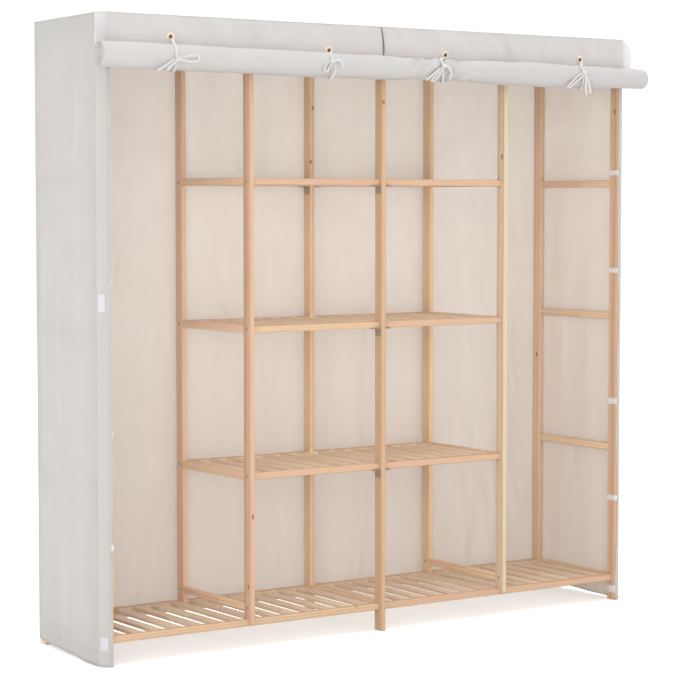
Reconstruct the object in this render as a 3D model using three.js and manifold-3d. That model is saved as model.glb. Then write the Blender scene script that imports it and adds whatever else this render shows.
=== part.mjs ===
// Portable fabric wardrobe: a pine frame of posts, rungs and slatted decks under a sewn cloth cover,
// with its front curtain rolled up and tied. Millimetres, +X to the right, +Y to the back, +Z up.
import * as THREE from 'three'
import { mergeVertices } from 'three/addons/utils/BufferGeometryUtils.js'
import Module from 'manifold-3d'

const wasm = await Module()
wasm.setup()

// Frame: five pairs of posts, in four equal bays
const bayPitch = 428
const frameDepth = 388
const postHeight = 1664
const postWidth = 14
const postDepth = 34
const easing = 1.6
const jointGap = 0.3

// Decks and rails: the bottom deck's rail centres, then equal steps up
const bottomLevel = 67
const levelStep = 392
const railHeight = 18
const railDepth = 18
const railInset = 11
const slatsPerBay = 7
const slatWidth = 30
const slatThickness = 9
const slatRecess = 1.2
const slatTenon = 6

// Ladders: what joins a front post to its back post
const rungHeight = 20
const lowBarHeight = 18
const lowBarLevel = 107
const carrierHeight = 50
const forkReach = 13

// Hanging rods, let into blind bores of the carriers
const rodRadius = 11
const rodSeat = 10
const rodDrop = 30
const rodGap = 0.3

// Cloth cover: the side panels turn round the front posts; the left one stands off its post at a crease
const clothThickness = 2
const clothGap = 0.5
const layerGap = 0.3
const leftCrease = 18
const rightCrease = 3
const creaseBack = 18
const returnWidth = 12
const sideRipple = 4
const backRipple = 7
const roofSag = 5
const hemFront = 2
const hemBack = 18
const backHem = 40
const headerDrop = 84
const headerFlareLeft = 16
const headerFlareRight = 38
const flareFullness_share = 0.75
const flarePower = 0.8
const headerSlit = 3
const headerSlitDepth = 1

// Rolled curtain: a spiral of cloth hung in front of the header's lower edge, a little thinner at its ends
const rollRadius = 36
const rollOverhang = 42
const rollForward = 41
const rollDrop = 113
const rollRise = 7
const rollPitch = 5
const rollWall = 4.2
const rollWrinkle = 2.4
const rollTurns = 3.25
const wrinkleTurns = 2.5
const wrinkleWaves = 4.5
const leftTaper_share = 0.03
const rightTaper_share = 0.19
const taperPower = 10

// Eyelets and cord ties
const eyeletInner = 196
const eyeletOuter = 686
const eyeletShift = 10
const eyeletDropLeft = 54
const eyeletDropInnerLeft = 70
const eyeletDropInnerRight = 68
const eyeletDropRight = 63
const eyeletRadius = 12
const eyeletBore = 6.2
const eyeletWall = 1.2
const eyeletFlange = 0.8
const eyeletCrown = 1.4
const eyeletGap = 0.3
const tieDiameter = 3.6
const tieGap = 0.7
const tieLayer_share = 1.35
const tieHang_share = 0.4

const cutOverrun = 4
const roundSides = 32

const halfDepth = frameDepth / 2
const halfWidth = 2 * bayPitch + postWidth / 2
const rollHalfLength = halfWidth + rollOverhang
const innerFace = halfDepth - postDepth
const postOffset = halfDepth - postDepth / 2
const railOffset = halfDepth - railInset - railDepth / 2
const clothFront = -(halfDepth + clothGap)
const levels = [0, 1, 2, 3].map(step => bottomLevel + step * levelStep)
const topRailLevel = postHeight - railHeight / 2
const rollY = clothFront - rollForward
const rollLevel = postHeight - rollDrop

const finish = (name, color, roughness, metalness = 0) =>
  new THREE.MeshStandardMaterial({ name, color, roughness, metalness })
const pine = finish('pine', 0xdfbb90, 0.62)
const cloth = finish('cloth', 0xdcd8d3, 0.9)
const cord = finish('cord', 0xeceae6, 0.85)
const copper = finish('copper', 0xb8835c, 0.35, 1)

const wardrobe = new THREE.Group()

function place(name, geometry, material, x = 0, y = 0, z = 0) {
  const mesh = new THREE.Mesh(geometry, material)
  mesh.name = name
  mesh.position.set(x, y, z)
  wardrobe.add(mesh)
}

// Cutting and joining of closed meshes
function toSolid(geometry) {
  const bare = geometry.clone()
  bare.deleteAttribute('normal')
  bare.deleteAttribute('uv')
  const merged = mergeVertices(bare)
  return new wasm.Manifold(new wasm.Mesh({
    numProp: 3,
    vertProperties: new Float32Array(merged.attributes.position.array),
    triVerts: new Uint32Array(merged.index.array),
  }))
}

function toGeometry(solid) {
  const mesh = solid.getMesh()
  const geometry = new THREE.BufferGeometry()
  geometry.setAttribute('position', new THREE.BufferAttribute(new Float32Array(mesh.vertProperties), 3))
  geometry.setIndex(new THREE.BufferAttribute(new Uint32Array(mesh.triVerts), 1))
  geometry.computeVertexNormals()
  return geometry
}

const join = geometries => toGeometry(geometries.map(toSolid).reduce((whole, solid) => whole.add(solid)))

const cut = (geometry, tools) =>
  toGeometry(tools.map(toSolid).reduce((rest, tool) => rest.subtract(tool), toSolid(geometry)))

// Timber: a planed bar with eased edges, running along one axis and centred on the origin
function easedSection(width, height) {
  const x = width / 2
  const y = height / 2
  const outline = [
    [-x + easing, -y], [x - easing, -y], [x, -y + easing], [x, y - easing],
    [x - easing, y], [-x + easing, y], [-x, y - easing], [-x, -y + easing],
  ]
  return new THREE.Shape(outline.map(([a, b]) => new THREE.Vector2(a, b)))
}

function timber(axis, sizeX, sizeY, sizeZ) {
  const depth = { x: sizeX, y: sizeY, z: sizeZ }[axis]
  const sections = { x: [sizeZ, sizeY], y: [sizeX, sizeZ], z: [sizeX, sizeY] }
  const geometry = new THREE.ExtrudeGeometry(easedSection(...sections[axis]), { depth, bevelEnabled: false })
  geometry.translate(0, 0, -depth / 2)
  if (axis === 'x') geometry.rotateY(Math.PI / 2)
  if (axis === 'y') geometry.rotateX(-Math.PI / 2)
  return geometry
}

// Posts: corner and centre posts stand on the floor; inner posts straddle the bottom and top rails
const postNames = ['left', 'inner_left', 'centre', 'inner_right', 'right']

function forkedPost() {
  const low = bottomLevel + railHeight / 2 - forkReach
  const high = postHeight - railHeight + forkReach
  const post = timber('z', postWidth, postDepth, high - low)
  post.translate(0, 0, (low + high) / 2)
  const slotDepth = railDepth + 2 * jointGap
  const slotEdge = railHeight / 2 + jointGap
  const ends = [[low - cutOverrun, bottomLevel + slotEdge], [topRailLevel - slotEdge, high + cutOverrun]]
  return cut(post, ends.map(([from, to]) => {
    const slot = new THREE.BoxGeometry(postWidth + cutOverrun, slotDepth, to - from)
    return slot.translate(0, railOffset - postOffset, (from + to) / 2)
  }))
}

postNames.forEach((name, index) => {
  const x = (index - 2) * bayPitch
  const inner = name.startsWith('inner')
  for (const [side, sign] of [['front', -1], ['back', 1]]) {
    const post = inner ? forkedPost() : timber('z', postWidth, postDepth, postHeight)
    if (inner && sign < 0) post.rotateZ(Math.PI)
    place(`post_${name}_${side}`, post, pine, x, sign * postOffset, inner ? 0 : postHeight / 2)
  }
})

// Rungs: each ladder's cross bars, butted between its two posts
const rungLength = 2 * (innerFace - jointGap)
const carrierLevel = postHeight - carrierHeight / 2
const rodLevel = postHeight - rodDrop

function rodCarrier(x) {
  const board = timber('y', postWidth, rungLength, carrierHeight)
  const bore = new THREE.CylinderGeometry(rodRadius + rodGap, rodRadius + rodGap, postWidth, roundSides)
  bore.rotateZ(Math.PI / 2)
  const intoRod = Math.abs(x) > bayPitch ? -Math.sign(x) : Math.sign(x)
  bore.translate(intoRod * (postWidth - rodSeat), 0, rodLevel - carrierLevel)
  return cut(board, [bore])
}

postNames.forEach((name, index) => {
  const x = (index - 2) * bayPitch
  const centre = name === 'centre'
  const inner = name.startsWith('inner')
  levels.forEach((level, step) => {
    if (centre && step > 0) return
    const [height, z] = inner && step === 0 ? [lowBarHeight, lowBarLevel] : [rungHeight, level]
    place(`rung_${name}_${step}`, timber('y', postWidth, rungLength, height), pine, x, 0, z)
  })
  if (!centre) place(`rod_carrier_${name}`, rodCarrier(x), pine, x, 0, carrierLevel)
})

// Decks: a front and a back rail with slats let into them, one prefabricated panel each
function slattedDeck(length, slats) {
  const rails = [-1, 1].map(sign => {
    const rail = timber('x', length, railDepth, railHeight)
    rail.translate(0, sign * railOffset, 0)
    return rail
  })
  const slatLength = 2 * (railOffset - railDepth / 2 + slatTenon)
  const pitch = length / slats
  const boards = Array.from({ length: slats }, (_, index) => {
    const slat = timber('y', slatWidth, slatLength, slatThickness)
    slat.translate((index + 0.5) * pitch - length / 2, 0, (railHeight - slatThickness) / 2 - slatRecess)
    return slat
  })
  return join([...rails, ...boards])
}

for (const [side, sign] of [['left', -1], ['right', 1]]) {
  const bottomLength = 2 * bayPitch - postWidth - 2 * jointGap
  const bottom = slattedDeck(bottomLength, 2 * slatsPerBay)
  place(`deck_bottom_${side}`, bottom, pine, sign * bayPitch, 0, bottomLevel)
  const shelfLength = bayPitch - postWidth - 2 * jointGap
  levels.slice(1).forEach((level, step) => {
    const shelf = slattedDeck(shelfLength, slatsPerBay)
    place(`shelf_${side}_${step + 1}`, shelf, pine, sign * bayPitch / 2, 0, level)
  })
  for (const [face, toward] of [['front', -1], ['back', 1]]) {
    const rail = timber('x', bottomLength, railDepth, railHeight)
    place(`top_rail_${side}_${face}`, rail, pine, sign * bayPitch, toward * railOffset, topRailLevel)
  }
  const rodLength = bayPitch - postWidth + 2 * (rodSeat - jointGap)
  const rod = new THREE.CylinderGeometry(rodRadius, rodRadius, rodLength, roundSides)
  rod.rotateZ(Math.PI / 2)
  place(`hanging_rod_${side}`, rod, pine, sign * 1.5 * bayPitch, 0, rodLevel)
}

// Cloth: a closed sheet of even thickness, mitred at its creases, round a grid of mid-surface points
function clothSheet(columns, rows, midPoint) {
  const grid = [...Array(rows + 1).keys()].map(row =>
    [...Array(columns + 1).keys()].map(column => midPoint(column / columns, row / rows)))
  const mitre = (row, column) => {
    const up = grid[Math.min(row + 1, rows)][column].clone().sub(grid[Math.max(row - 1, 0)][column])
    const faces = [[column - 1, column], [column, column + 1]].filter(([a, b]) => a >= 0 && b <= columns)
    const normals = faces.map(([a, b]) => grid[row][b].clone().sub(grid[row][a]).cross(up).normalize())
    const [first, last] = [normals[0], normals[normals.length - 1]]
    return first.clone().add(last).divideScalar(1 + first.dot(last))
  }
  const positions = []
  for (const side of [1, -1]) {
    grid.forEach((line, row) => line.forEach((middle, column) => {
      const point = middle.clone().addScaledVector(mitre(row, column), side * clothThickness / 2)
      positions.push(point.x, point.y, point.z)
    }))
  }
  const layer = (columns + 1) * (rows + 1)
  const at = (side, row, column) => side * layer + row * (columns + 1) + column
  const faces = []
  const quad = (a, b, c, d) => faces.push(a, b, c, a, c, d)
  for (let row = 0; row < rows; row++) {
    for (let column = 0; column < columns; column++) {
      quad(at(0, row, column), at(0, row, column + 1), at(0, row + 1, column + 1), at(0, row + 1, column))
      quad(at(1, row, column), at(1, row + 1, column), at(1, row + 1, column + 1), at(1, row, column + 1))
    }
  }
  for (let column = 0; column < columns; column++) {
    quad(at(0, 0, column), at(1, 0, column), at(1, 0, column + 1), at(0, 0, column + 1))
    quad(at(0, rows, column), at(0, rows, column + 1), at(1, rows, column + 1), at(1, rows, column))
  }
  for (let row = 0; row < rows; row++) {
    quad(at(0, row, 0), at(0, row + 1, 0), at(1, row + 1, 0), at(1, row, 0))
    quad(at(0, row, columns), at(1, row, columns), at(1, row + 1, columns), at(0, row + 1, columns))
  }
  const geometry = new THREE.BufferGeometry()
  geometry.setAttribute('position', new THREE.Float32BufferAttribute(positions, 3))
  geometry.setIndex(faces)
  return geometry
}

const mix = THREE.MathUtils.lerp
const fold = (share, count) => (1 - Math.cos(2 * Math.PI * share * count)) / 2
const clothInset = clothGap + clothThickness / 2
const panelTop = postHeight - jointGap

// Side panels: from the back corner along the end ladder to a crease, round the front post and a little
// way over its face; the folds between the posts deepen towards the hem
const sideSteps = 10
const sideRows = 6
const sideFolds = 3

function sidePlan(crease) {
  const wall = halfWidth + clothInset
  const stations = [...Array(sideSteps + 1).keys()].map(step => {
    const share = step / sideSteps
    return { x: wall + crease * share, y: mix(halfDepth, creaseBack - halfDepth, share), share }
  })
  const face = clothFront - clothThickness / 2
  return [...stations, { x: wall, y: face, share: 1 }, { x: halfWidth - returnWidth, y: face, share: 1 }]
}

for (const [side, sign, crease] of [['left', -1, leftCrease], ['right', 1, rightCrease]]) {
  const plan = sign < 0 ? sidePlan(crease) : sidePlan(crease).reverse()
  const last = plan.length - 1
  const panel = (across, up) => {
    const { x, y, share } = plan[Math.round(across * last)]
    const bulge = sideRipple * fold(share, sideFolds) * (1 - up)
    return new THREE.Vector3(sign * (x + bulge), y, mix(mix(hemBack, hemFront, share), panelTop, up))
  }
  place(`cover_${side}`, clothSheet(last, sideRows, panel), cloth)
}

// Back panel: wider folds, strongest halfway between the posts
const backColumns = 40
const backRows = 5
const backFolds = 10
const backPanel = (across, up) => {
  const x = mix(halfWidth, -halfWidth, across)
  const bulge = backRipple * fold(across, backFolds) * Math.sqrt(1 - up)
  return new THREE.Vector3(x, halfDepth + clothInset + bulge, mix(backHem, panelTop, up))
}
place('cover_back', clothSheet(backColumns, backRows, backPanel), cloth)

// Roof: lies on the rails and ladders, and sags a little in the middle of each bay
const roofColumns = 26
const roofRows = 8
const headerMiddle = clothFront - clothThickness * 3 / 2 - layerGap
const roofBack = halfDepth + clothGap + clothThickness
const roofFront = headerMiddle - clothThickness / 2

function edgedSteps(share, cells, inner, low, high) {
  const offset = share - 1 / 2
  if (share < 1 / (2 * cells)) return low
  if (share > 1 - 1 / (2 * cells)) return high
  return inner * offset / (1 / 2 - 1 / cells)
}

const roofPanel = (across, back) => {
  const side = halfWidth + clothGap + clothThickness
  const x = edgedSteps(across, roofColumns, 2 * bayPitch, -side, side)
  const railFace = railOffset - railDepth / 2 - jointGap
  const y = edgedSteps(back, roofRows, railFace, roofFront, roofBack)
  const between = Math.abs(y) < railFace ? Math.cos(Math.PI * y / railFace / 2) : 0
  const bay = Math.abs(x) < 2 * bayPitch ? Math.sin(Math.PI * (x / bayPitch)) ** 2 : 0
  return new THREE.Vector3(x, y, postHeight + jointGap + clothThickness / 2 - roofSag * bay * between)
}
place('cover_roof', clothSheet(roofColumns, roofRows, roofPanel), cloth)

// Header: the curtain's fixed top strip in front of the panels' returns, flared past the frame at both
// ends, with holes for the eyelets and a slit for its zip
const headerColumns = 22
const headerRows = 5
const headerLevel = postHeight - headerDrop
const flare = up => Math.sin(Math.PI * (1 - up) * flareFullness_share) ** flarePower
const headerLeft = up => -halfWidth - headerFlareLeft * flare(up)
const headerRight = up => halfWidth + headerFlareRight * flare(up)
const headerStrip = (across, up) =>
  new THREE.Vector3(mix(headerLeft(up), headerRight(up), across), headerMiddle, mix(headerLevel, panelTop, up))
const eyeletPlaces = [
  [-eyeletOuter, eyeletDropLeft], [-eyeletInner, eyeletDropInnerLeft],
  [eyeletInner, eyeletDropInnerRight], [eyeletOuter, eyeletDropRight],
].map(([x, drop]) => [x + eyeletShift, postHeight - drop])
const eyeletHole = eyeletBore + eyeletWall + eyeletGap
const headerHoles = eyeletPlaces.map(([x, level]) => {
  const hole = new THREE.CylinderGeometry(eyeletHole, eyeletHole, clothThickness + cutOverrun, roundSides / 2)
  return hole.translate(x, headerMiddle, level)
})
const slit = new THREE.BoxGeometry(headerSlit, 2 * headerSlitDepth, 2 * headerDrop)
slit.translate(0, headerMiddle - clothThickness / 2, headerLevel)
place('cover_header', cut(clothSheet(headerColumns, headerRows, headerStrip), [...headerHoles, slit]), cloth)

// Rolled curtain: the spiral section, carried along the roll with its sag, tapers and wrinkles. Its cloth
// comes down from the header's lower edge to the back of the roll
const rollStations = 11
const rollSteps = 46

function spiralPoint(step, inner, along) {
  const turn = step / rollSteps * rollTurns
  const angle = Math.PI + 2 * Math.PI * turn
  const wave = Math.sin(wrinkleTurns * angle + 2 * Math.PI * wrinkleWaves * along)
  const wrinkle = rollWrinkle * wave * fold(along, 1)
  const wall = inner ? rollWall : 0
  const radius = rollRadius - rollPitch * turn - wall - Math.max(0, wrinkle)
  return [radius * Math.cos(angle), radius * Math.sin(angle)]
}

function rolledCurtain() {
  const section = [...Array(rollSteps + 1).keys()]
  const outside = ['strip', ...section].map(step => [step, false])
  const inside = ['strip', ...section].reverse().map(step => [step, true])
  const loop = [...outside, ...inside]
  const positions = []
  for (let station = 0; station <= rollStations; station++) {
    const along = station / rollStations
    const x = mix(-rollHalfLength, rollHalfLength, along)
    const rise = rollRise * (1 - along) ** 2
    const ease = 1 - rightTaper_share * along ** taperPower - leftTaper_share * (1 - along) ** taperPower
    for (const [step, inner] of loop) {
      if (step === 'strip') {
        const face = headerMiddle - layerGap + clothThickness / (inner ? -2 : 2)
        positions.push(mix(headerLeft(0), headerRight(0), along), face, headerLevel - jointGap)
      } else {
        const [a, b] = spiralPoint(step, inner, along)
        positions.push(x, rollY - a * ease, rollLevel + rise + b * ease)
      }
    }
  }
  const count = loop.length
  const faces = []
  for (let station = 0; station < rollStations; station++) {
    for (let k = 0; k < count; k++) {
      const a = station * count + k
      const b = station * count + (k + 1) % count
      faces.push(a, a + count, b + count, a, b + count, b)
    }
  }
  for (const [base, flip] of [[0, false], [rollStations * count, true]]) {
    for (let step = 0; step <= rollSteps; step++) {
      const [a, b] = [base + step, base + step + 1]
      const [c, d] = [base + count - 1 - step, base + count - 2 - step]
      if (flip) faces.push(a, c, b, b, c, d)
      else faces.push(a, b, c, b, d, c)
    }
  }
  const geometry = new THREE.BufferGeometry()
  geometry.setAttribute('position', new THREE.Float32BufferAttribute(positions, 3))
  geometry.setIndex(faces)
  return geometry
}
place('curtain_roll', rolledCurtain(), cloth)

// Eyelets: a barrel through the header with a crowned flange on each face
const eyeletHalf = clothThickness / 2 + eyeletGap + eyeletFlange
const crownSteps = 3
const eyeletCrest = [...Array(crownSteps + 1).keys()].map(step => step / crownSteps).map(share =>
  [mix(eyeletBore, eyeletRadius, share), eyeletHalf + eyeletCrown * Math.sin(Math.PI * share)])
const eyeletFront = [...eyeletCrest, [eyeletRadius, eyeletHalf - eyeletFlange],
  [eyeletBore + eyeletWall, eyeletHalf - eyeletFlange]]
const eyeletBack = [...eyeletFront].reverse().map(([radius, height]) => [radius, -height])
const eyeletProfile = [...eyeletFront, ...eyeletBack, eyeletFront[0]].reverse()
  .map(([radius, height]) => new THREE.Vector2(radius, height))

// Ties: each cord is a slip bow in front of the roll. A tail runs up to the knot and out into a loop, back
// across the knot and over the roll to the eyelet, down behind, under the roll, and up over the knot into
// the last tail. Its points are across from the eyelet and up from the roll's axis, in hundredths of the
// roll's radius; below the axis the tails hang almost straight down
const tieLift = tieDiameter / 2 + tieGap
const tieLayer = tieDiameter * tieLayer_share
const tieSides = 8
const tieSteps = 66
const lastLayers = [1.4, 0.5, 0, 0]

function tieRoute(x, level, { knot, tail, loop, last }) {
  const unit = rollRadius / 100
  const along = (x / rollHalfLength + 1) / 2
  const centre = rollLevel + rollRise * (1 - along) ** 2
  const onRoll = (across, degrees) => {
    const turn = THREE.MathUtils.euclideanModulo(degrees / 360 + 0.5, 1)
    const radius = rollRadius - rollPitch * turn + tieLift
    const angle = THREE.MathUtils.degToRad(degrees)
    const [toFront, up] = [radius * Math.cos(angle), radius * Math.sin(angle)]
    return new THREE.Vector3(x + across * unit, rollY - toFront, centre + up)
  }
  const before = ([across, up], layer = 0) => {
    const radius = rollRadius - rollPitch / 2 + tieLift + layer * tieLayer
    const held = up * unit * (up < 0 ? tieHang_share : 1)
    const toFront = Math.sqrt(radius ** 2 - held ** 2)
    return new THREE.Vector3(x + across * unit, rollY - toFront, centre + up * unit)
  }
  const near = (across, up, layer) => before([knot[0] + across, knot[1] + up], layer)
  const lean = THREE.MathUtils.radToDeg(Math.asin(knot[1] / 100))
  const over = (share, climb) => onRoll(knot[0] * share, mix(lean, 90, climb))
  const under = (share, climb) => onRoll(knot[0] * share, mix(212, 340 + lean, climb))
  const lip = level - eyeletBore + tieDiameter / 2 + eyeletGap
  const free = (across, back, up) =>
    new THREE.Vector3(x + across * unit, clothFront + back * unit, lip + up * unit)
  return [
    ...tail.map(point => before(point)), near(8, 4), ...loop.map((point, step) =>
      before(point, step < loop.length - 1 ? 0 : 0.8)),
    near(-6, 8, 1), over(1, 0.4), over(0.88, 0.65), over(0.6, 0.95),
    free(-3, -33, 0), free(0, -17, 0), free(0, 10, 0), free(-3, 27, -11), free(-6, 24, -39),
    free(-14, 6, -80), new THREE.Vector3(x - 22 * unit, clothFront, centre - 11 * unit),
    under(0.3, 0), under(0.45, 0.2), under(0.6, 0.4), under(0.8, 0.6), under(0.95, 0.8), under(1, 1),
    near(3, -14, 1), near(0, 3, 2), ...last.map((point, step) => before(point, lastLayers[step])),
  ]
}

const tieBows = [{
  knot: [-61, -14],
  tail: [[-219, -106], [-175, -81], [-133, -53], [-89, -28]],
  loop: [[-8, -6], [56, 8], [112, 3], [112, -21], [64, -33], [8, -31]],
  last: [[-81, -42], [-117, -72], [-139, -103]],
}, {
  knot: [-100, 22],
  tail: [[-111, -106], [-89, -81], [-78, -39], [-83, -6]],
  loop: [[-131, 14], [-164, -14], [-172, -47], [-153, -56], [-133, -31], [-119, 0]],
  last: [[-61, 31], [-33, 25], [-17, 3], [-14, -25]],
}, {
  knot: [-169, 22],
  tail: [[-325, -89], [-289, -58], [-242, -25], [-200, 3]],
  loop: [[-161, 6], [-222, -33], [-264, -72], [-272, -92], [-250, -89], [-211, -53], [-183, -14]],
  last: [[-136, 22], [-106, -3], [-94, -42], [-106, -75]],
}, {
  knot: [-128, 17],
  tail: [[-44, -139], [-64, -81], [-89, -25]],
  loop: [[-181, 0], [-244, -50], [-286, -86], [-264, -94], [-219, -61], [-158, -14]],
  last: [[-114, -19], [-106, -72], [-94, -119], [-72, -156]],
}]
eyeletPlaces.forEach(([x, level], index) => {
  const eyelet = new THREE.LatheGeometry(eyeletProfile, roundSides / 2)
  place(`eyelet_${index + 1}`, eyelet, copper, x, headerMiddle, level)
  const route = new THREE.CatmullRomCurve3(tieRoute(x, level, tieBows[index]), false, 'centripetal')
  const section = new THREE.Shape(new THREE.EllipseCurve(0, 0, tieDiameter / 2, tieDiameter / 2)
    .getPoints(tieSides).slice(0, -1))
  const tie = new THREE.ExtrudeGeometry(section, { extrudePath: route, steps: tieSteps, bevelEnabled: false })
  place(`tie_${index + 1}`, tie, cord)
})

// The origin is below the middle of the whole object without its ties, at floor level
const reach = new THREE.Box3()
wardrobe.children.filter(mesh => mesh.material !== cord).forEach(mesh => reach.expandByObject(mesh, true))
wardrobe.position.y = -(reach.min.y + reach.max.y) / 2

export default wardrobe
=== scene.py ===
# Portable fabric wardrobe: a pine frame under a sewn cotton cover, its front curtain rolled up and tied.
# Metres, +X to the right, +Y to the back, +Z up, with the origin of the loaded frame.
import math

import bpy
import numpy as np
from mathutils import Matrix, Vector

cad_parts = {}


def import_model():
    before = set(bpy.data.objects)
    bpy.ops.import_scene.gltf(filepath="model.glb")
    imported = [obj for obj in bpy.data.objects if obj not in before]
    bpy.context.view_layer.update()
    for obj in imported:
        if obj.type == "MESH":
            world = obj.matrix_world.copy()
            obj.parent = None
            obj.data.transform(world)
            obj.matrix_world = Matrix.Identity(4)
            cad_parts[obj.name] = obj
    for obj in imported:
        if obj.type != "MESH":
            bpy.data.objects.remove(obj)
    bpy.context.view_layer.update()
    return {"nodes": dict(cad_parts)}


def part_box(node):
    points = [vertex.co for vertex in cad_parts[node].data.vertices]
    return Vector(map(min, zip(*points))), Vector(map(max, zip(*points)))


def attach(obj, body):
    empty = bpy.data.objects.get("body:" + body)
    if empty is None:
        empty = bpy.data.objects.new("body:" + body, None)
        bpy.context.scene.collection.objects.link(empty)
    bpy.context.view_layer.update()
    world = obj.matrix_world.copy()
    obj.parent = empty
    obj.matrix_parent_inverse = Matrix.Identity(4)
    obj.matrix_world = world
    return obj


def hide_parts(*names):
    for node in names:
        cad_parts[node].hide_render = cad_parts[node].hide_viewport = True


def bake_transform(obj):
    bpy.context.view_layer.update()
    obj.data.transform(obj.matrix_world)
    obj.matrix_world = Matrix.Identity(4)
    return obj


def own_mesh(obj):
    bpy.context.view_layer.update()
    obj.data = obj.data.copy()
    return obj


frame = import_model()

# Camera: in front of the wardrobe, to its left and above its middle, looking slightly down through a long
# lens. It is placed from the front face of the posts.
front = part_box("post_centre_front")[0].y
camera_data = bpy.data.cameras.new("camera")
camera_data.lens = 117.4
camera_data.sensor_width = 36
camera_data.clip_end = 40
camera = bpy.data.objects.new("camera", camera_data)
camera.location = (-3.5536, front - 4.9577, 1.1852)
camera.rotation_euler = (math.radians(90 - 3.527), 0, math.radians(-34.495))
bpy.context.scene.collection.objects.link(camera)
bpy.context.scene.camera = camera

# Ties: four lengths of soft flat cotton tape, each threaded through its eyelet, round the roll and tied in
# a slip bow on the roll's front. They hold the roll up; let down, they lie flat against the curtain.
tape_width = 0.0075
tape_thickness = 0.0011
tape_colour = (224, 221, 218)
roll_y = front - 0.0415
roll_level = 1.551
roll_rise = 0.007
roll_radius = 0.036
roll_half_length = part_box("curtain_roll")[1].x
cloth_front = front - 0.0005
tie_lift = 0.0019
tie_layer = 0.0030
tie_hang = 0.4
knot_lift = 0.0025
knot_size = (0.0068, 0.0062, 0.0045)
tie_spacing = 0.0012
roll_tightening = 0.005
under_start, under_end = 212, 340
eyelet_drop = 0.0041

# Each bow is its knot, a tail, a loop and the last tail, across from the eyelet and up from the roll's axis,
# in hundredths of the roll's radius.
tie_bows = [
    ((-61, -14), [(-219, -106), (-175, -81), (-133, -53), (-89, -28)],
     [(-8, -6), (56, 8), (112, 3), (112, -21), (64, -33), (8, -31)], [(-81, -42), (-117, -72), (-139, -103)]),
    ((-100, 22), [(-111, -106), (-89, -81), (-78, -39), (-83, -6)],
     [(-131, 14), (-164, -14), (-172, -47), (-153, -56), (-133, -31), (-119, 0)],
     [(-61, 31), (-33, 25), (-17, 3), (-14, -25)]),
    ((-169, 22), [(-325, -89), (-289, -58), (-242, -25), (-200, 3)],
     [(-161, 6), (-222, -33), (-264, -72), (-272, -92), (-250, -89), (-211, -53), (-183, -14)],
     [(-136, 22), (-106, -3), (-94, -42), (-106, -75)]),
    ((-128, 17), [(-44, -139), (-64, -81), (-89, -25)],
     [(-181, 0), (-244, -50), (-286, -86), (-264, -94), (-219, -61), (-158, -14)],
     [(-114, -19), (-106, -72), (-94, -119), (-72, -156)]),
]


def linear(colour):
    """The linear colour of an sRGB one given from 0 to 255, with full opacity."""
    share = np.array(colour) / 255
    low, high = share / 12.92, ((share + 0.055) / 1.055) ** 2.4
    return (*np.where(share <= 0.04045, low, high), 1)


def node(material, kind, settings=(), **inputs):
    """A shader node with its settings and inputs: an input is a value, or the socket that feeds it.
    An underscore in an input's name stands for a space, and a number names an input by its place."""
    made = material.node_tree.nodes.new(kind)
    for name, value in dict(settings).items():
        setattr(made, name, value)
    for name, value in inputs.items():
        key = int(name[1:]) if name[0] == "i" and name[1:].isdigit() else name.replace("_", " ")
        if isinstance(value, bpy.types.NodeSocket):
            material.node_tree.links.new(value, made.inputs[key])
        else:
            made.inputs[key].default_value = value
    return made


def bare_material(name):
    """An empty node material."""
    material = bpy.data.materials.new(name)
    material.use_nodes = True
    material.node_tree.nodes.clear()
    return material


def surface_of(material, **inputs):
    """Ends a material in one Principled shader."""
    shader = node(material, "ShaderNodeBsdfPrincipled", **inputs)
    node(material, "ShaderNodeOutputMaterial", Surface=shader.outputs[0])
    return material


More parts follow.
